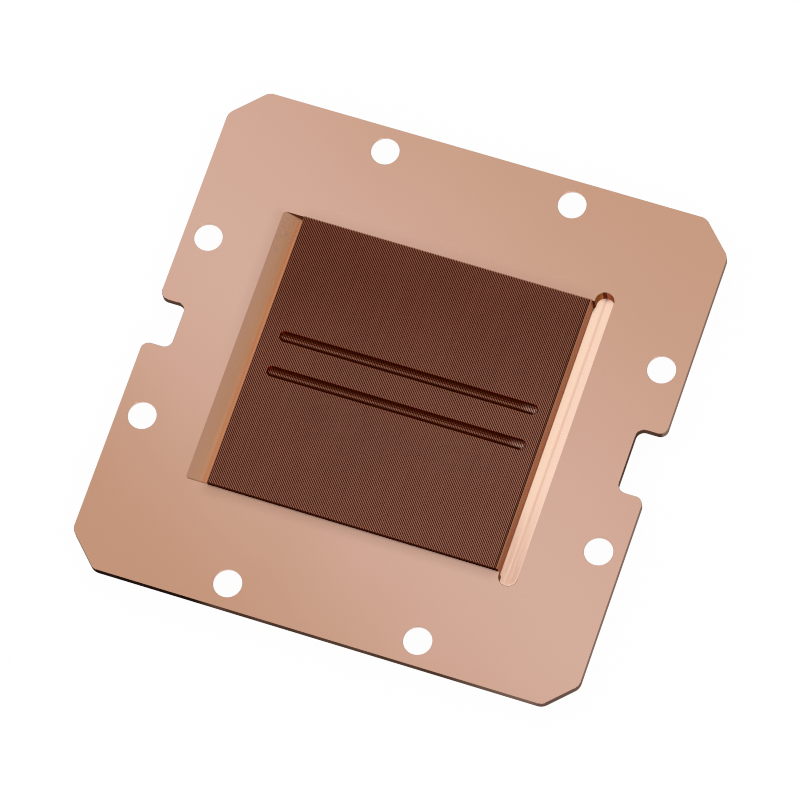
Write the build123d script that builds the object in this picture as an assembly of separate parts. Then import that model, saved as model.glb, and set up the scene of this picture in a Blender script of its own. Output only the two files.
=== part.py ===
from build123d import *
import os

# Cold plate of a processor water block, one copper piece with skived fins.
# Sizes are in millimetres. Z = 0 is the face that touches the processor, and the
# middle of the plate is at X = 0, Y = 0. The fins run along Y.

# Plate and the raised contact pad below it
plate_side = 62.0
base_thickness = 3.0
rim_thickness = 1.2
corner_cut = 3.85
front_right_corner_cut = 3.4
corner_round = 1.5
pad_to_screws = 5.5
pad_corner_round = 4.0
pad_edge_cut = 0.3

# Eight clearance holes for M3 screws, a pair along each side, countersunk from below
screw_hole_diameter = 3.4
screw_to_edge = 3.0
screw_pair_spacing = 23.2
countersink_land = 0.4

# Two locating notches of unlike width, one on each side that runs along the fins
notch_depth = 3.35
left_notch_width = 5.7
right_notch_width = 8.0
notch_round = 1.0

# Pocket that the skiving blade leaves: a ramp where it enters, then a flat floor
pocket_width = 34.7
pocket_depth = 1.2
pocket_corner_round = 0.4
ramp_run = 2.47
ramp_to_fins = 0.2

# Skived fins, with a thicker wall after the last one
fin_field_centre_x = -0.1
fin_pitch = 0.2
fin_thickness = 0.1
fin_count = 177
end_wall_thickness = 0.2
fin_rise = 0.6
fin_end_gap = 0.1

# Slot milled along the last wall, past both ends of the pocket
slot_width = 2.2
slot_depth = 2.1
slot_to_wall = 0.25
slot_overrun = 1.375

# Two shallow flow grooves across the fins, with flanks and ends that slope
groove_width = 1.33
groove_floor_width = 0.55
groove_depth = 0.5
groove_spacing = 4.5
groove_centre_y = 0.1
groove_left_margin = 2.1
groove_right_margin = 1.7
groove_end_run = 0.5

# How far a cutter stands out of the material, so that no two faces only touch
cutter_over = 1.0

plate_half = plate_side / 2
screw_row_spacing = plate_side - 2 * screw_to_edge
screw_hole_radius = screw_hole_diameter / 2
countersink_depth = rim_thickness - countersink_land
pad_side = screw_row_spacing - 2 * pad_to_screws
rim_bottom_z = base_thickness - rim_thickness
pocket_floor_z = base_thickness - pocket_depth
slot_floor_z = base_thickness - slot_depth
fin_top_z = base_thickness + fin_rise
fin_field_width = fin_count * fin_pitch + end_wall_thickness
fin_field_left = fin_field_centre_x - fin_field_width / 2
fin_field_right = fin_field_left + fin_field_width
end_wall_left = fin_field_right - end_wall_thickness
fin_length = pocket_width - 2 * fin_end_gap
ramp_foot_x = fin_field_left - ramp_to_fins
ramp_start_x = ramp_foot_x - ramp_run
slot_length = pocket_width + 2 * slot_overrun
slot_centre_x = fin_field_right + slot_to_wall + slot_width / 2
groove_length = fin_field_width - groove_left_margin - groove_right_margin
groove_centre_x = fin_field_left + groove_left_margin + groove_length / 2


def plate_corner(x_sign, y_sign, cut):
    """Triangle that takes one corner off the square plate."""
    corner = (x_sign * plate_half, y_sign * plate_half)
    along_x = (corner[0] - x_sign * cut, corner[1])
    along_y = (corner[0], corner[1] - y_sign * cut)
    return make_face(Polyline(corner, along_x, along_y, close=True))


def plate_outline():
    """Square with cut corners, rounded where the cuts meet the sides."""
    outline = Rectangle(plate_side, plate_side)
    outline -= plate_corner(-1, 1, corner_cut)
    outline -= plate_corner(1, 1, corner_cut)
    outline -= plate_corner(-1, -1, corner_cut)
    outline -= plate_corner(1, -1, front_right_corner_cut)
    outline = fillet(outline.vertices(), corner_round)
    left_notch = RectangleRounded(2 * notch_depth, left_notch_width, notch_round)
    right_notch = RectangleRounded(2 * notch_depth, right_notch_width, notch_round)
    outline -= Pos(-plate_half, 0) * left_notch
    outline -= Pos(plate_half, 0) * right_notch
    mouths = [v for v in outline.vertices() if is_notch_mouth(v)]
    return fillet(mouths, notch_round)


def is_notch_mouth(vertex):
    """True for the four sharp corners where a notch opens in the plate's side."""
    on_side = abs(abs(vertex.X) - plate_half) < 0.001
    return on_side and abs(vertex.Y) < right_notch_width


def screw_places():
    """Centres of the eight screw holes, a pair along each side."""
    row = screw_row_spacing / 2
    pair = screw_pair_spacing / 2
    places = [(x, y) for x in (-pair, pair) for y in (-row, row)]
    return places + [(y, x) for x, y in places]


def screw_hole():
    """A through hole and, below its land, a cone that takes the head of a countersunk screw."""
    hole = Cylinder(screw_hole_radius, rim_thickness)
    middle_z = (countersink_depth - rim_thickness) / 2
    mouth_radius = screw_hole_radius + countersink_depth
    return hole + Pos(0, 0, middle_z) * Cone(mouth_radius, screw_hole_radius, countersink_depth)


def plate_blank():
    """Thin rim with its holes and notches, and the pad that stands out below."""
    rim = Pos(0, 0, rim_bottom_z) * extrude(plate_outline(), rim_thickness)
    hole = screw_hole()
    for x, y in screw_places():
        rim -= Pos(x, y, rim_bottom_z + rim_thickness / 2) * hole
    pad = extrude(RectangleRounded(pad_side, pad_side, pad_corner_round), base_thickness)
    pad = chamfer(pad.faces().sort_by(Axis.Z)[0].edges(), pad_edge_cut)
    return rim + pad


def skived_pocket():
    """Ramp and flat floor, with small round corners at the start of the ramp."""
    top = base_thickness + cutter_over
    side = Polyline(
        (ramp_start_x, top),
        (ramp_start_x, base_thickness),
        (ramp_foot_x, pocket_floor_z),
        (fin_field_right, pocket_floor_z),
        (fin_field_right, top),
        close=True,
    )
    pocket = extrude(Plane.XZ * make_face(side), pocket_width / 2, both=True)
    length = fin_field_right - ramp_start_x
    plan = Pos((fin_field_right + ramp_start_x) / 2, 0) * Rectangle(length, pocket_width)
    plan = fillet(plan.vertices().group_by(Axis.X)[0], pocket_corner_round)
    return pocket & extrude(plan, top)


def end_slot():
    """Round-ended slot, opened up to the last wall along the length of the pocket."""
    height = slot_depth + cutter_over
    plan = SlotOverall(slot_length, slot_width, rotation=90)
    slot = Pos(slot_centre_x, 0, slot_floor_z) * extrude(plan, height)
    opened = slot_centre_x - fin_field_right
    middle_x = (slot_centre_x + fin_field_right) / 2
    return slot + Pos(middle_x, 0, slot_floor_z + height / 2) * Box(opened, pocket_width, height)


def wedge_profile(half_floor, run):
    """Section of a groove tool: a flat floor at its foot and sides that slope outwards."""
    rise = groove_depth + cutter_over
    half_top = half_floor + run * rise / groove_depth
    points = [(-half_floor, 0), (half_floor, 0), (half_top, rise), (-half_top, rise)]
    return make_face(Polyline(*points, close=True))


def flow_groove():
    """Shallow groove with a flat floor, sloping flanks and ends, and round corners in plan."""
    across = wedge_profile(groove_floor_width / 2, (groove_width - groove_floor_width) / 2)
    along = wedge_profile(groove_length / 2 - groove_end_run, groove_end_run)
    flanks = extrude(Plane.YZ * across, groove_length, both=True)
    ends = extrude(Plane.XZ * along, groove_width, both=True)
    return flanks & ends & extrude(SlotOverall(groove_length, groove_width), groove_depth + cutter_over)


def fin_field():
    """All the fins in one profile, extruded along their length, then grooved."""
    root_z = pocket_floor_z - pocket_depth / 2
    points = [(fin_field_left, root_z)]
    for i in range(fin_count):
        left = fin_field_left + i * fin_pitch
        right = left + fin_thickness
        points += [(left, fin_top_z), (right, fin_top_z), (right, pocket_floor_z)]
        points += [(left + fin_pitch, pocket_floor_z)]
    points += [(end_wall_left, fin_top_z), (fin_field_right, fin_top_z), (fin_field_right, root_z)]
    profile = make_face(Polyline(*points, close=True))
    fins = extrude(Plane.XZ * profile, fin_length / 2, both=True)
    for side in (-1, 1):
        y = groove_centre_y + side * groove_spacing / 2
        fins -= Pos(groove_centre_x, y, fin_top_z - groove_depth) * flow_groove()
    return fins


def cold_plate():
    """The finished piece."""
    return plate_blank() - skived_pocket() - end_slot() + fin_field()


os.makedirs("parts", exist_ok=True)
export_step(cold_plate(), "parts/cold_plate.step")
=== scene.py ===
import math

import bmesh
import bpy
from mathutils import Matrix, Vector


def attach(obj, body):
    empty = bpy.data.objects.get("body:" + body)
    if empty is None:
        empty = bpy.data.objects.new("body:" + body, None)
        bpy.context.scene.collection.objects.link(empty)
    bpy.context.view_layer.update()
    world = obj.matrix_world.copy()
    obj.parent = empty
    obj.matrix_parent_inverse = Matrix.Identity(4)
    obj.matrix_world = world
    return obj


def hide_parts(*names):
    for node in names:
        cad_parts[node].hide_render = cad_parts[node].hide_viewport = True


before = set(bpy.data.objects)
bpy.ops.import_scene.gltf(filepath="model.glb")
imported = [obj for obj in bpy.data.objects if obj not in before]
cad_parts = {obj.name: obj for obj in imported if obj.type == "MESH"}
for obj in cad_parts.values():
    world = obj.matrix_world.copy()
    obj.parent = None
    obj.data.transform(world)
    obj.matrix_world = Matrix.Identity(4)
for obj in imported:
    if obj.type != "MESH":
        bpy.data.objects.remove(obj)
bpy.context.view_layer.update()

# Cold plate: one block of copper with a thin rim, a contact pad below, eight countersunk
# holes and two notches. It is milled all over and its fins are shaved up out of it, so the
# mesh starts from the solid's own shape, and only what is finer is added.
MM = 0.001
face_height = 3.0 * MM
weld = 0.0005 * MM
flat_within = math.radians(0.5)
plate = bmesh.new()
plate.from_mesh(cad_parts["cold_plate"].data)
bmesh.ops.remove_doubles(plate, verts=plate.verts, dist=weld)
bmesh.ops.dissolve_limit(plate, angle_limit=flat_within, verts=plate.verts, edges=plate.edges)

# Places of the finishes: the plate is one piece of copper, but each way of cutting left a
# finish of its own. Each face gets its finish from where it is and how it points.
FACE, EDGE, HOLE, CONTACT, RAMP, FRONT, SLOT, WALL, END, FLANK, TIP, GROOVE = range(12)
level = 0.9
touch = 0.01 * MM
pocket_left = -20.57 * MM
pocket_half_length = 17.35 * MM
pocket_low = face_height / 2
first_fin_left = -17.9 * MM
last_wall_left = 17.5 * MM
last_wall_right = 17.7 * MM
slot_right = 20.15 * MM
slot_half_length = 18.725 * MM
slot_bottom = 0.9 * MM
hole_row = 28.0 * MM
hole_pair = 11.6 * MM
hole_reach = 2.7 * MM


def finish_of(face):
    """Which of the plate's finishes a face has."""
    centre = face.calc_center_median()
    up = face.normal.z
    if up < -level:
        return CONTACT if centre.z < touch else FACE
    if up > level and abs(centre.z - face_height) < touch:
        return FACE
    slot_wide = last_wall_right - touch < centre.x < slot_right + touch
    slot_deep = slot_bottom - touch < centre.z < face_height - touch
    if slot_wide and slot_deep and abs(centre.y) < slot_half_length:
        if up > level:
            return SLOT
        return END if abs(centre.y) > pocket_half_length else WALL
    pocket_wide = pocket_left - touch < centre.x < last_wall_right + touch
    if pocket_wide and abs(centre.y) < pocket_half_length + touch and centre.z > pocket_low:
        if centre.x < first_fin_left + touch:
            return FRONT if centre.x > first_fin_left - touch else RAMP
        if up > level and centre.z > face_height + touch:
            return WALL if centre.x > last_wall_left else TIP
        return FLANK
    along = Vector((abs(centre.x), abs(centre.y)))
    holes = (Vector((hole_row, hole_pair)), Vector((hole_pair, hole_row)))
    return HOLE if min((along - hole).length for hole in holes) < hole_reach else EDGE


for face in plate.faces:
    face.material_index = finish_of(face)

# Flow grooves: a cutter with a ball nose runs twice across the fins, so each groove is round
# in section and at its ends.
fin_top = 3.6 * MM
ball_radius = 0.68 * MM
ball_depth = 0.56 * MM
ball_segments = 40
ball_rings = 21
groove_left = -15.8 * MM
groove_right = 16.0 * MM
groove_rows = (-2.18 * MM, 2.32 * MM)
ball_reach = math.sqrt(ball_radius ** 2 - (ball_radius - ball_depth) ** 2)
ball_height = fin_top - ball_depth + ball_radius
quarter_turn = Matrix.Rotation(math.pi / 2, 3, "Y")
cutter = bmesh.new()
for row in groove_rows:
    ball = bmesh.ops.create_uvsphere(
        cutter, u_segments=ball_segments, v_segments=ball_rings, radius=ball_radius
    )
    bmesh.ops.rotate(cutter, verts=ball["verts"], cent=(0, 0, 0), matrix=quarter_turn)
    for vert in ball["verts"]:
        vert.co.x += groove_right - ball_reach if vert.co.x > 0 else groove_left + ball_reach
    bmesh.ops.translate(cutter, verts=ball["verts"], vec=(0, row, ball_height))
for face in cutter.faces:
    face.material_index = GROOVE


def as_object(name, shape):
    """Put a finished bmesh into the scene as an object, and let the bmesh go."""
    mesh = bpy.data.meshes.new(name)
    shape.to_mesh(mesh)
    shape.free()
    made = bpy.data.objects.new(name, mesh)
    bpy.context.scene.collection.objects.link(made)
    return made


cold_plate = as_object("copper_cold_plate", plate)
groove_cutter = as_object("groove_cutter", cutter)
cut = cold_plate.modifiers.new("grooves", "BOOLEAN")
cut.operation = "DIFFERENCE"
cut.solver = "EXACT"
cut.material_mode = "INDEX"
cut.object = groove_cutter
ready = cold_plate.evaluated_get(bpy.context.evaluated_depsgraph_get())
plate = bmesh.new()
plate.from_mesh(bpy.data.meshes.new_from_object(ready))
cold_plate.modifiers.remove(cut)
bpy.data.objects.remove(groove_cutter)

# Slot passes: the slot is milled in two passes. The floor of the left one slopes a little and
# ends in a fine step, and the cutter lifts where it turns back at the far end. The ramp lifts
# in the same way there.
step_left = 18.82 * MM
step_right = 18.94 * MM
step_depth = 0.008 * MM
pass_slope = math.tan(math.radians(7))
lift_slope = math.tan(math.radians(8))
slot_lift = 17.5 * MM
ramp_lift = 16.9 * MM


def score(kind, place, direction):
    """Cut the faces of one finish by a plane, and give back their corners."""
    faces = [face for face in plate.faces if face.material_index == kind]
    parts = set(faces)
    for face in faces:
        parts.update(face.edges)
        parts.update(face.verts)
    bmesh.ops.bisect_plane(plate, geom=list(parts), dist=weld, plane_co=place, plane_no=direction)
    return {vert for face in plate.faces if face.material_index == kind for vert in face.verts}


score(SLOT, (step_left, 0, 0), (1, 0, 0))
for vert in score(SLOT, (step_right, 0, 0), (1, 0, 0)):
    if vert.co.x < step_left + touch:
        vert.co.z += pass_slope * (step_left - vert.co.x) - step_depth
for kind, start in ((SLOT, slot_lift), (RAMP, ramp_lift)):
    for vert in score(kind, (0, start, 0), (0, 1, 0)):
        if vert.co.z < face_height - touch:
            vert.co.z += lift_slope * max(vert.co.y - start, 0)

# Edge breaks: the sharp edges of rim, holes, notches and slot ends are taken off once the
# copper is cut, by a few hundredths of a millimetre.
edge_break = 0.05 * MM
slot_end_break = 0.06 * MM
sharp_from = math.radians(60)
for size, beside in ((edge_break, {EDGE, HOLE}), (slot_end_break, {END})):
    broken = []
    for edge in plate.edges:
        kinds = {face.material_index for face in edge.link_faces}
        if FACE in kinds and kinds & beside and edge.calc_face_angle_signed(0) > sharp_from:
            broken.append(edge)
    made = bmesh.ops.bevel(
        plate, geom=broken, offset=size, offset_type="OFFSET", segments=1,
        profile=0.5, affect="EDGES", clamp_overlap=True, material=-1,
    )
    if END in beside:
        for face in made["faces"]:
            face.material_index = END


def place_of(part):
    """Where a corner is, or where all the corners of an edge or a face are."""
    corners = [part] if isinstance(part, bmesh.types.BMVert) else part.verts
    return sorted(tuple(vert.co) for vert in corners)


# The groove cut and the edge breaks give their parts back in another order each run, so all
# are put in the order of their places, and the mesh is the same each time.
for parts in (plate.verts, plate.edges, plate.faces):
    ranks = {part: rank for rank, part in enumerate(sorted(parts, key=place_of))}
    parts.sort(key=ranks.get)
smooth_limit = math.radians(20)
for face in plate.faces:
    face.smooth = True
for edge in plate.edges:
    edge.smooth = edge.calc_face_angle(math.pi) < smooth_limit
plate.to_mesh(cold_plate.data)
plate.free()
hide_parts("cold_plate")
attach(cold_plate, "root")


# Satin face: the sealing face and the rim are ground and then blasted with fine beads, which
# leaves an even satin. A paler band across the middle is a painted sheen, and a darker band
# beside the pocket is painted shade.
class Value:
    """The output of a node in a material, which sums and other nodes can use."""

    def __init__(self, tree, socket=None):
        self.tree = tree
        self.socket = socket

    def node(self, kind, settings, inputs, output=0):
        """Add a node, with its settings first and then what goes into its sockets."""
        made = self.tree.nodes.new(kind)
        for name, value in settings.items():
            if name == "stops":
                made.color_ramp.interpolation = "EASE"
                while len(made.color_ramp.elements) < len(value):
                    made.color_ramp.elements.new(1.0)
                for element, (place, colour) in zip(made.color_ramp.elements, value):
                    element.position = place
                    element.color = colour
            else:
                setattr(made, name, value)
        for name, value in inputs.items():
            if isinstance(value, Value):
                self.tree.links.new(value.socket, made.inputs[name])
            else:
                made.inputs[name].default_value = value
        return Value(self.tree, made.outputs[output])

    def sum(self, operation, first, second):
        """What an operation makes of two values or numbers."""
        return self.node("ShaderNodeMath", {"operation": operation}, {0: first, 1: second})

    def __add__(self, other):
        return self.sum("ADD", self, other)

    __radd__ = __add__

    def __sub__(self, other):
        return self.sum("SUBTRACT", self, other)

    def __rsub__(self, other):
        return self.sum("SUBTRACT", other, self)

    def __neg__(self):
        return 0.0 - self

    def __mul__(self, other):
        return self.sum("MULTIPLY", self, other)

    __rmul__ = __mul__

    def __abs__(self):
        return self.sum("ABSOLUTE", self, 0.0)

    def over(self, least):
        """How far the value is over the least one, and 0 below it."""
        return self.sum("MAXIMUM", self, least) - least

    def stray(self, amount):
        """How far noise from 0 to 1 strays from its middle, times an amount."""
        return amount * (self - 0.5)

    def between(self, low, high):
        """From low to high as the value goes from 0 to 1."""
        return low + (high - low) * self

    def step(self, low, high, start=0.0, end=1.0):
        """From start to end, smoothly, as the value goes from low to high."""
        return self.node(
            "ShaderNodeMapRange",
            {"interpolation_type": "SMOOTHSTEP"},
            {"Value": self, "From Min": low, "From Max": high, "To Min": start, "To Max": end},
        )

    def fade(self, low, high):
        """From 1 to 0, smoothly, as the value goes from low to high."""
        return self.step(low, high, 1.0, 0.0)

    def mix(self, first, second):
        """The first colour where the value is 0 and the second where it is 1."""
        factor_in, first_in, second_in, colour_out = 0, 6, 7, 2
        settings = {"data_type": "RGBA", "clamp_factor": True}
        inputs = {factor_in: self, first_in: first, second_in: second}
        return self.node("ShaderNodeMix", settings, inputs, colour_out)


def new_finish(name, metallic=1.0, gloss=0.1, edge_tint=(1.0, 1.0, 1.0, 1)):
    """A material with one shader, and the place on the piece in millimetres."""
    material = bpy.data.materials.new(name)
    material.use_nodes = True
    tree = material.node_tree
    shader = tree.nodes["Principled BSDF"]
    shader.inputs["Metallic"].default_value = metallic
    shader.inputs["Specular IOR Level"].default_value = gloss
    shader.inputs["Specular Tint"].default_value = edge_tint
    place = Value(tree).node("ShaderNodeTexCoord", {}, {}, "Object")
    inputs = {"Vector": place, "Scale": 1 / MM}
    scaled = place.node("ShaderNodeVectorMath", {"operation": "SCALE"}, inputs)
    cold_plate.data.materials.append(material)
    return tree, shader, scaled


def axes(place):
    """The X, Y and Z of a place or a direction, each as a value of its own."""
    parts = place.node("ShaderNodeSeparateXYZ", {}, {0: place})
    return [Value(place.tree, output) for output in parts.socket.node.outputs]


def noise(place, per_mm, stretch=(1.0, 1.0, 1.0), detail=2.0):
    """Soft noise from 0 to 1, drawn out along the axes where stretch is under 1."""
    spread = place.node("ShaderNodeVectorMath", {"operation": "MULTIPLY"}, {0: place, 1: stretch})
    inputs = {"Vector": spread, "Scale": per_mm, "Detail": detail}
    return place.node("ShaderNodeTexNoise", {}, inputs)


def connect(tree, shader, **sockets):
    """Lead values to the shader's sockets."""
    for name, value in sockets.items():
        tree.links.new(value.socket, shader.inputs[name.replace("_", " ")])


def bump(height, strength, depth):
    """A normal that follows a height."""
    inputs = {"Strength": strength, "Distance": depth, "Height": height}
    return height.node("ShaderNodeBump", {}, inputs)


# A pair of places, here and below, is where a change starts and where it is complete, in
# millimetres from the middle of the plate and up from its contact face. A pair of amounts
# is what the change starts and ends with.
satin_front = (0.540, 0.298, 0.193, 1)
satin_painted_sheen = (0.655, 0.413, 0.327, 1)
satin_back = (0.570, 0.330, 0.224, 1)
satin_painted_shade = (0.10, 0.045, 0.020, 1)
satin_glance = (0.85, 0.70, 0.62, 1)
satin_roughness = 0.36
grain_roughness = 0.05
grain_tint = 0.03
cloud_tint = 0.08
sheen_to_right = 0.504
sheen_to_back = 0.864
sheen_reach = 40.0
sheen_peak = 0.45
ends_shade_reach = (17.65, 19.15)
ends_left = (-19.0, -17.2)
ends_right = (16.8, 18.4)
front_to_back = (-1.0, 1.0)
ends_shade_amount = (0.16, 0.07)
side_shade_reach = (-22.2, -20.7)
side_stop = (-20.6, -20.5)
side_ends = (16.8, 18.2)
side_length = (-8.0, 10.0)
side_shade_amount = (0.0, 0.1)
tree, shader, place = new_finish("satin_face", edge_tint=satin_glance)
x, y, z = axes(place)
# The colour ramp is a painted sheen: paler across the middle, darker towards front and back.
sheen_band = 0.5 + (sheen_to_right * x + sheen_to_back * y) * (0.5 / sheen_reach)
grain = noise(place, per_mm=14.0, detail=3.0)
cloud = noise(place, per_mm=0.09, detail=1.0)
sheen_band = sheen_band + grain.stray(grain_tint) + cloud.stray(cloud_tint)
stops = [(0.0, satin_front), (sheen_peak, satin_painted_sheen), (1.0, satin_back)]
tone = sheen_band.node("ShaderNodeValToRGB", {"stops": stops}, {"Fac": sheen_band})
# Painted shade: darker in a soft band beyond the pocket's ends and along its left side.
at_ends = abs(y).fade(*ends_shade_reach) * x.step(*ends_left) * x.fade(*ends_right)
tone = (at_ends * y.step(*front_to_back, *ends_shade_amount)).mix(tone, satin_painted_shade)
at_side = x.step(*side_shade_reach) * x.fade(*side_stop) * abs(y).fade(*side_ends)
tone = (at_side * y.step(*side_length, *side_shade_amount)).mix(tone, satin_painted_shade)
roughness = satin_roughness + grain.stray(grain_roughness)
relief = bump(grain, strength=0.06, depth=0.002 * MM)
connect(tree, shader, Base_Color=tone, Roughness=roughness, Normal=relief)

# Cut edges: the outline and the notches are milled. Their dark brown, mottled like the copper,
# is painted shade; it is a painted shadow near black at the front left, and painted light
# makes it paler on the right.
cut_brown = (0.080, 0.044, 0.030, 1)
cut_copper = (0.120, 0.072, 0.052, 1)
cut_painted_shadow = (0.004, 0.002, 0.001, 1)
cut_painted_light = (0.300, 0.200, 0.165, 1)
cut_glance = (0.5, 0.42, 0.38, 1)
cut_roughness = (0.45, 0.65)
mottled = (0.3, 0.7)
streak_tint = 0.3
shadow_left = (-15.0, -12.0)
shadow_front = (-29.0, -27.0)
light_right = (12.0, 32.0)
notch_mouth = (4.6, 6.0)
notch_rim = (30.3, 30.7)
cut_corner = (57.0, 58.4)
cut_corner_lit = (1.0, 0.5)
tree, shader, place = new_finish("cut_edge", edge_tint=cut_glance)
x, y, z = axes(place)
streaks = noise(place, per_mm=3.0, stretch=(1.0, 1.0, 0.15))
patches = noise(place, per_mm=0.25)
tone = (patches.step(*mottled) + streaks.stray(streak_tint)).mix(cut_brown, cut_copper)
# Painted shadow: near black towards the front left.
tone = (x.fade(*shadow_left) * y.fade(*shadow_front)).mix(tone, cut_painted_shadow)
past_notch = (abs(y).step(*notch_mouth) + x.step(*notch_rim)).step(0.0, 1.0)
# Painted light: paler to the right, past the notches, and half as much at the front right corner.
lit_share = x.step(*light_right) * past_notch * (x - y).step(*cut_corner, *cut_corner_lit)
tone = lit_share.mix(tone, cut_painted_light)
roughness = streaks.between(*cut_roughness)
relief = bump(streaks, strength=0.15, depth=0.01 * MM)
connect(tree, shader, Base_Color=tone, Roughness=roughness, Normal=relief)

# Screw holes: drilled and countersunk last, so their copper is still bright, with the fine
# turns of the drill round their walls.
drilled_copper = (0.78, 0.50, 0.38, 1)
drilled_shade = (0.62, 0.38, 0.28, 1)
drilled_roughness = (0.25, 0.35)
drill_turns = (0.35, 0.65)
tree, shader, place = new_finish("drilled_hole")
turns = noise(place, per_mm=6.0, stretch=(0.1, 0.1, 1.0))
tone = turns.step(*drill_turns).mix(drilled_shade, drilled_copper)
roughness = turns.between(*drilled_roughness)
relief = bump(turns, strength=0.1, depth=0.005 * MM)
connect(tree, shader, Base_Color=tone, Roughness=roughness, Normal=relief)

# Contact face: cut flat by one wide fly cutter, whose fine arcs are left where the processor
# will touch it.
contact_copper = (0.72, 0.47, 0.365, 1)
contact_shade = (0.57, 0.34, 0.250, 1)
contact_roughness = (0.24, 0.32)
arc_tint = 0.45
haze_tint = 0.55
cutter_sweep = (95.0, 0, 0)
tree, shader, place = new_finish("contact_face", edge_tint=satin_glance)
aside = place.node("ShaderNodeVectorMath", {"operation": "ADD"}, {0: place, 1: cutter_sweep})
rings = {"wave_type": "RINGS", "rings_direction": "Z"}
spacing = {"Vector": aside, "Scale": 0.35, "Distortion": 0.6, "Detail": 2.0}
arcs = place.node("ShaderNodeTexWave", rings, spacing, "Fac")
haze = noise(place, per_mm=0.3)
tone = (arc_tint * arcs + haze_tint * haze).mix(contact_shade, contact_copper)
roughness = arcs.between(*contact_roughness)
relief = bump(arcs, strength=0.12, depth=0.003 * MM)
connect(tree, shader, Base_Color=tone, Roughness=roughness, Normal=relief)

# Ramp: the sloping cut where the skiving blade goes in, which the blade has polished, with
# a painted shade along its near end, a painted reflection of the first fin at its foot and a
# few scuffs at its far one.
ramp_copper = (0.480, 0.236, 0.128, 1)
ramp_pale = (0.550, 0.290, 0.170, 1)
ramp_top = (0.500, 0.268, 0.168, 1)
ramp_scuff = (0.400, 0.215, 0.140, 1)
ramp_painted_reflection = (0.545, 0.258, 0.140, 1)
ramp_painted_shade = (0.200, 0.105, 0.070, 1)
ramp_roughness = (0.12, 0.20)
drag_lines = (0.35, 0.75)
drag_tint = 0.5
pale_length = (-21.0, 6.0)
pale_tint = (0.8, 0.0)
top_place = (-20.3, -18.9)
reflection_place = (-18.68, -18.42)
reflection_length = (14.0, 16.8)
reflection_tint = (1.0, 0.3)
ramp_shade_lean = 0.31
ramp_shade_fray = 0.2
ramp_shade_place = (-16.36, -16.22)
ramp_shade_tint = (0.6, 0.0)
scuff_spots = (0.55, 0.62)
scuff_length = (8.0, 17.0)
tree, shader, place = new_finish("ramp")
x, y, z = axes(place)
drag = noise(place, per_mm=2.0, stretch=(0.5, 0.05, 1.0), detail=3.0)
scuffs = noise(place, per_mm=3.5, detail=4.0)
pale = drag_tint * drag.step(*drag_lines) + y.step(*pale_length, *pale_tint)
tone = pale.mix(ramp_copper, ramp_pale)
tone = x.fade(*top_place).mix(tone, ramp_top)
# Painted reflection: an orange stripe at the ramp's foot, beside the first fin, fading to the
# back.
tone = (x.step(*reflection_place) * y.step(*reflection_length, *reflection_tint)).mix(tone, ramp_painted_reflection)
# Painted shade: a thin dark line along the ramp's near end, leaning with the height.
near_end = y + ramp_shade_lean * z + scuffs.stray(ramp_shade_fray)
tone = near_end.step(*ramp_shade_place, *ramp_shade_tint).mix(tone, ramp_painted_shade)
tone = (scuffs.step(*scuff_spots) * y.step(*scuff_length)).mix(tone, ramp_scuff)
roughness = drag.between(*ramp_roughness)
relief = bump(drag, strength=0.1, depth=0.01 * MM)
connect(tree, shader, Base_Color=tone, Roughness=roughness, Normal=relief)

# Front of the first fin: the side that faces the ramp, cut clean and bright by the blade, so
# that the ramp mirrors it. It is palest at its foot and its top.
front_copper = (0.94, 0.76, 0.60, 1)
front_shade = (0.88, 0.69, 0.54, 1)
front_pale = (1.0, 0.90, 0.80, 1)
front_top = (0.93, 0.86, 0.82, 1)
front_roughness = (0.22, 0.32)
front_foot_height = (2.4, 2.9)
front_top_height = (3.0, 3.25)
tree, shader, place = new_finish("fin_front")
x, y, z = axes(place)
drag = noise(place, per_mm=2.0, stretch=(1.0, 0.1, 1.0))
tone = drag.step(*mottled).mix(front_shade, front_copper)
tone = z.fade(*front_foot_height).mix(tone, front_pale)
tone = z.step(*front_top_height).mix(tone, front_top)
roughness = drag.between(*front_roughness)
relief = bump(drag, strength=0.1, depth=0.005 * MM)
connect(tree, shader, Base_Color=tone, Roughness=roughness, Normal=relief)

# Slot floor: milled last of all, so it is the brightest copper on the plate. It is a little
# shaded where the first pass ends in its fine step, and duller towards its front end.
slot_cream = (0.97, 0.690, 0.530, 1)
slot_pink = (0.94, 0.655, 0.515, 1)
slot_shade = (0.84, 0.54, 0.41, 1)
slot_dull = (0.72, 0.440, 0.330, 1)
slot_dark_foot = (0.38, 0.180, 0.105, 1)
slot_roughness = (0.20, 0.26)
second_pass = (18.78, 18.98)
pass_fray = 0.5
shade_start = (18.52, 18.82)
shade_stop = (18.90, 18.98)
slot_middle = 19.05
rim_shift = 0.4
rim_straight = 16.965
rim_squared = (0.80, 1.1)
rim_highlight_dull = (1.0, 0.5)
lane_place = 18.57
lane_half = (0.04, 0.14)
lane_cleared = (0.5, 0.0)
lane_start = (-17.3, -16.0)
dull_length = (-17.5, -4.5)
dull_least = 0.55
lane_tint = 0.4
lane_marks = (0.4, 0.6)
chatter_tint = 0.3
chatter_place = (18.9, 19.0)
dark_foot_place = (17.74, 17.80)
dark_foot_fray = 0.05
tree, shader, place = new_finish("slot_floor")
x, y, z = axes(place)
marks = noise(place, per_mm=2.5, stretch=(0.6, 1.0, 1.0), detail=3.0)
lanes = noise(place, per_mm=2.4, stretch=(1.0, 0.08, 1.0), detail=3.0)
spacing = {"Vector": place, "Scale": 2.2, "Distortion": 1.5, "Detail": 1.0}
arcs = place.node("ShaderNodeTexWave", {"bands_direction": "DIAGONAL"}, spacing, "Fac")
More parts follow.
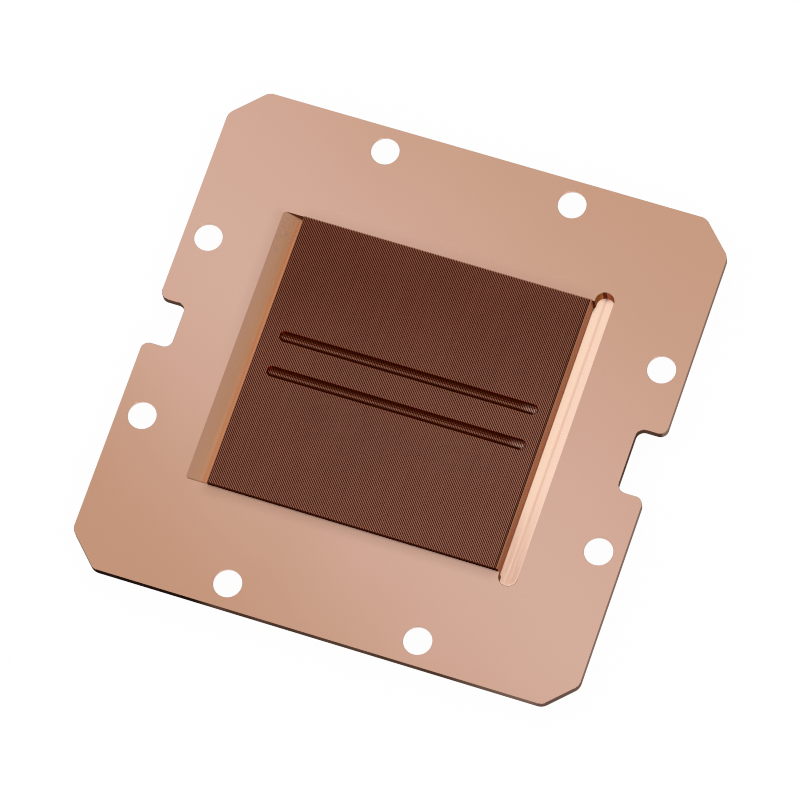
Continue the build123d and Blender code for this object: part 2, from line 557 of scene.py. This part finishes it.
# Along the floor's sides and round ends a painted highlight is laid: the dull copper is halved
# towards the edge, by the square of the distance from the middle of the round.
aside = x - slot_middle + rim_shift
beyond = abs(y).over(rim_straight)
rim = (aside * aside + beyond * beyond).step(*rim_squared, *rim_highlight_dull)
cleared = abs(x - lane_place).step(*lane_half, *lane_cleared) * y.step(*lane_start)
tone = (x.step(*second_pass) + marks.stray(pass_fray)).mix(slot_cream, slot_pink)
tone = (x.step(*shade_start) * x.fade(*shade_stop)).mix(tone, slot_shade)
streaked = dull_least + lane_tint * lanes.step(*lane_marks)
streaked = streaked + chatter_tint * arcs * x.step(*chatter_place)
dull = y.fade(*dull_length) * rim * (1.0 - cleared) * streaked
tone = dull.mix(tone, slot_dull)
# Darker in a thin strip along the foot of the left wall.
tone = (x + marks.stray(dark_foot_fray)).fade(*dark_foot_place).mix(tone, slot_dark_foot)
roughness = marks.between(*slot_roughness)
relief = bump(marks, strength=0.01, depth=0.003 * MM)
connect(tree, shader, Base_Color=tone, Roughness=roughness, Normal=relief)

# Walls: the sides of the slot and the thick last wall of the fins, milled, and browned by the
# cutter's heat.
wall_copper = (0.45, 0.205, 0.125, 1)
wall_brown = (0.39, 0.175, 0.105, 1)
wall_top = (0.33, 0.137, 0.075, 1)
wall_glance = (1.0, 0.72, 0.56, 1)
wall_roughness = (0.3, 0.5)
wall_top_height = (3.59, 3.60)
tree, shader, place = new_finish("slot_wall", edge_tint=wall_glance)
x, y, z = axes(place)
marks = noise(place, per_mm=1.5, stretch=(1.0, 0.3, 1.0))
tone = marks.step(*mottled).mix(wall_brown, wall_copper)
tone = z.step(*wall_top_height).mix(tone, wall_top)
roughness = marks.between(*wall_roughness)
relief = bump(marks, strength=0.1, depth=0.005 * MM)
connect(tree, shader, Base_Color=tone, Roughness=roughness, Normal=relief)

# Slot ends: the cutter dwells here, so its chatter leaves them brown, with a dark upright band
# near the middle of the curve. A black line runs along the top, deepest over that band.
end_olive = (0.600, 0.340, 0.170, 1)
end_copper = (0.700, 0.320, 0.200, 1)
end_dark = (0.230, 0.085, 0.060, 1)
end_black = (0.090, 0.045, 0.030, 1)
end_glance = (0.35, 0.20, 0.12, 1)
end_roughness = (0.4, 0.6)
end_change = (18.75, 19.35)
end_fray = 0.4
band_shift = 0.3
band_fray = 0.3
band_half = (0.12, 0.32)
black_height = (2.89, 2.93)
black_amount = (0.35, 1.0)
tree, shader, place = new_finish("slot_end", edge_tint=end_glance)
x, y, z = axes(place)
chatter = noise(place, per_mm=4.0, stretch=(1.0, 1.0, 0.2))
tone = (x + chatter.stray(end_fray)).step(*end_change).mix(end_olive, end_copper)
band = abs(x - slot_middle + band_shift + chatter.stray(band_fray)).fade(*band_half)
tone = band.mix(tone, end_dark)
tone = (z.step(*black_height) * band.between(*black_amount)).mix(tone, end_black)
roughness = chatter.between(*end_roughness)
relief = bump(chatter, strength=0.2, depth=0.01 * MM)
connect(tree, shader, Base_Color=tone, Roughness=roughness, Normal=relief)

# Fins: sides and gaps. Their deep red is painted, for light that bounces between them and
# comes back red, and painted shade makes the gap before the last wall darkest.
flank_copper = (0.24, 0.014, 0.002, 1)
flank_brown = (0.18, 0.010, 0.002, 1)
flank_painted_shade = (0.08, 0.014, 0.005, 1)
pocket_painted_shade = (0.16, 0.045, 0.018, 1)
flank_roughness = (0.35, 0.45)
last_gap = (17.35, 17.37)
fin_ends = (17.20, 17.24)
pocket_ends = (17.30, 17.34)
tree, shader, place = new_finish("fin_side", metallic=0.0, gloss=0.0)
x, y, z = axes(place)
patches = noise(place, per_mm=0.15, detail=1.0)
# Painted deep red for the light that bounces between the fins.
tone = patches.step(*mottled).mix(flank_brown, flank_copper)
# Painted shade: darker in the gap before the last wall, at the fin ends and on the pocket's end
# walls.
tone = (x.step(*last_gap) + abs(y).step(*fin_ends)).mix(tone, flank_painted_shade)
tone = abs(y).step(*pocket_ends).mix(tone, pocket_painted_shade)
connect(tree, shader, Base_Color=tone, Roughness=patches.between(*flank_roughness))

# Fin tips: the top edges of the fins, thin, a little rough where the chip broke off, and not
# quite alike. They are darker towards the back, and the last one is darkest.
tip_copper = (0.325, 0.136, 0.087, 1)
tip_brown = (0.225, 0.078, 0.044, 1)
tip_dark = (0.17, 0.058, 0.033, 1)
tip_roughness = (0.35, 0.45)
tip_length = (-4.0, 14.0)
tip_pale = (0.75, 0.15)
tip_to_right = 0.012
patch_tint = 0.3
row_tint = 0.5
last_tip = (17.28, 17.29)
tree, shader, place = new_finish("fin_tip")
x, y, z = axes(place)
patches = noise(place, per_mm=0.15, detail=1.0)
rows = noise(place, per_mm=3.0, stretch=(1.0, 0.02, 1.0))
pale = y.step(*tip_length, *tip_pale) + tip_to_right * x
tone = (pale + patches.stray(patch_tint) + rows.stray(row_tint)).mix(tip_brown, tip_copper)
tone = x.step(*last_tip).mix(tone, tip_dark)
connect(tree, shader, Base_Color=tone, Roughness=patches.between(*tip_roughness))

# Groove cuts: copper where the cutter's nose has passed flat, and dark on the steep sides, partly
# with burrs and partly painted shade; a painted highlight lies at the right end. The pairs are of
# how far a face leans along each axis.
groove_copper = (0.32, 0.122, 0.076, 1)
groove_painted_highlight = (0.62, 0.330, 0.240, 1)
groove_burrs_and_shade = (0.085, 0.014, 0.002, 1)
groove_glance = (0.50, 0.15, 0.06, 1)
groove_roughness = (0.3, 0.4)
burr_fray = 0.1
bottom_lean = (0.10, 0.31)
bottom_up = (0.5, 0.8)
run_out_place = (13.6, 15.0)
run_out_far = (-0.95, 0.0)
run_out_near = (0.05, 0.45)
run_out_tint = 0.75
end_lean = (0.05, 0.4)
end_up = (0.6, 0.8)
tree, shader, place = new_finish("groove_cut", metallic=0.6, edge_tint=groove_glance)
across, along, up = axes(place.node("ShaderNodeNewGeometry", {}, {}, "Normal"))
x, y, z = axes(place)
burrs = noise(place, per_mm=2.0)
# Partly burrs and partly painted shade: darker on the steep sides.
bottom = (abs(along) + burrs.stray(burr_fray)).fade(*bottom_lean) * up.step(*bottom_up)
tone = bottom.mix(groove_burrs_and_shade, groove_copper)
# Painted highlight: brighter towards the right end, and on faces that lean to the left.
run_out = x.step(*run_out_place) * along.step(*run_out_far) * along.fade(*run_out_near)
tone = (run_out_tint * run_out).mix(tone, groove_painted_highlight)
tone = ((-across).step(*end_lean) * up.step(*end_up)).mix(tone, groove_painted_highlight)
connect(tree, shader, Base_Color=tone, Roughness=burrs.between(*groove_roughness))

# Floor: a plain white sheet, which cameras and reflections see as white and which keeps a soft
# shadow. It is clear from below, so the underside of the plate can be looked at too.
floor_half = 1.2
floor_gap = 0.01 * MM
paper_white = (0.9, 0.9, 0.9, 1)
plain_white = (1, 1, 1, 1)
glow_share = 0.97
floor_shape = bmesh.new()
bmesh.ops.create_grid(floor_shape, x_segments=1, y_segments=1, size=floor_half)
bmesh.ops.translate(floor_shape, verts=floor_shape.verts, vec=(0, 0, -floor_gap))
floor = as_object("studio_floor", floor_shape)
floor_white = bpy.data.materials.new("floor_white")
floor_white.use_nodes = True
tree = floor_white.node_tree
tree.nodes.clear()
start = Value(tree)
seen = start.node("ShaderNodeLightPath", {}, {}, "Is Camera Ray")
mirrored = start.node("ShaderNodeLightPath", {}, {}, "Is Glossy Ray")
passed = start.node("ShaderNodeLightPath", {}, {}, "Is Transmission Ray")
paper = start.node("ShaderNodeBsdfDiffuse", {}, {"Color": paper_white})
glow = start.node("ShaderNodeEmission", {}, {"Color": plain_white, "Strength": 1.0})
clear = start.node("ShaderNodeBsdfTransparent", {}, {"Color": plain_white})
from_below = start.node("ShaderNodeNewGeometry", {}, {}, "Backfacing")
share = glow_share * (seen + mirrored + passed)
surface = share.node("ShaderNodeMixShader", {}, {0: share, 1: paper, 2: glow})
surface = from_below.node("ShaderNodeMixShader", {}, {0: from_below, 1: surface, 2: clear})
output = tree.nodes.new("ShaderNodeOutputMaterial")
tree.links.new(surface.socket, output.inputs["Surface"])
floor.data.materials.append(floor_white)

# Light: a pale room, a little brighter overhead and on the left, and one soft box at the
# front right that models the edges.
room_bright = (1.03, 1.03, 1.03, 1)
room_dim = (0.55, 0.55, 0.55, 1)
room_change = (-0.5, 0.9)
bright_side = Vector((-0.5, 0.1, 0.86)).normalized()
world = bpy.data.worlds.new("pale_room")
world.use_nodes = True
bpy.context.scene.world = world
tree = world.node_tree
direction = Value(tree).node("ShaderNodeTexCoord", {}, {}, "Generated")
inputs = {0: direction, 1: bright_side}
facing = direction.node("ShaderNodeVectorMath", {"operation": "DOT_PRODUCT"}, inputs, "Value")
room = facing.step(*room_change).mix(room_dim, room_bright)
tree.links.new(room.socket, tree.nodes["Background"].inputs["Color"])

key_distance = 0.6
key_side = 0.3
key_radiance = 1.5
key_direction = Vector((0.60, -0.55, 0.58)).normalized()
lamp = bpy.data.lights.new("key_box", "AREA")
lamp.shape = "SQUARE"
lamp.size = key_side
lamp.energy = key_radiance * math.pi * key_side ** 2
key_box = bpy.data.objects.new("key_box", lamp)
key_box.location = Vector((0, 0, face_height)) + key_direction * key_distance
key_box.rotation_euler = key_direction.to_track_quat("Z", "Y").to_euler()
key_box.visible_camera = False
bpy.context.scene.collection.objects.link(key_box)

# Camera: above the front right corner, twenty degrees off the vertical, with a long lens, as
# in the photograph.
camera_azimuth = math.radians(32.295)
camera_elevation = math.radians(69.701)
camera_roll = math.radians(-14.206)
camera_distance = 747.17 * MM
camera_aim = Vector((0.168, -0.927, 3.0)) * MM
camera_lens = 289.88
camera_sensor = 36.0
lens = bpy.data.cameras.new("camera")
lens.lens = camera_lens
lens.sensor_width = camera_sensor
camera = bpy.data.objects.new("camera", lens)
bpy.context.scene.collection.objects.link(camera)
turn = (
    Matrix.Rotation(camera_azimuth, 4, "Z")
    @ Matrix.Rotation(math.pi / 2 - camera_elevation, 4, "X")
    @ Matrix.Rotation(camera_roll, 4, "Z")
)
back = Matrix.Translation((0, 0, camera_distance))
camera.matrix_world = Matrix.Translation(camera_aim) @ turn @ back
bpy.context.scene.camera = camera

# Film: the fins are finer than the picture's pixels. The denoiser works from the picture alone,
# because its other guides smooth the fins away.
bpy.context.scene.cycles.filter_width = 1.0
bpy.context.scene.cycles.denoising_input_passes = "RGB"
bpy.context.scene.view_settings.view_transform = "Standard"
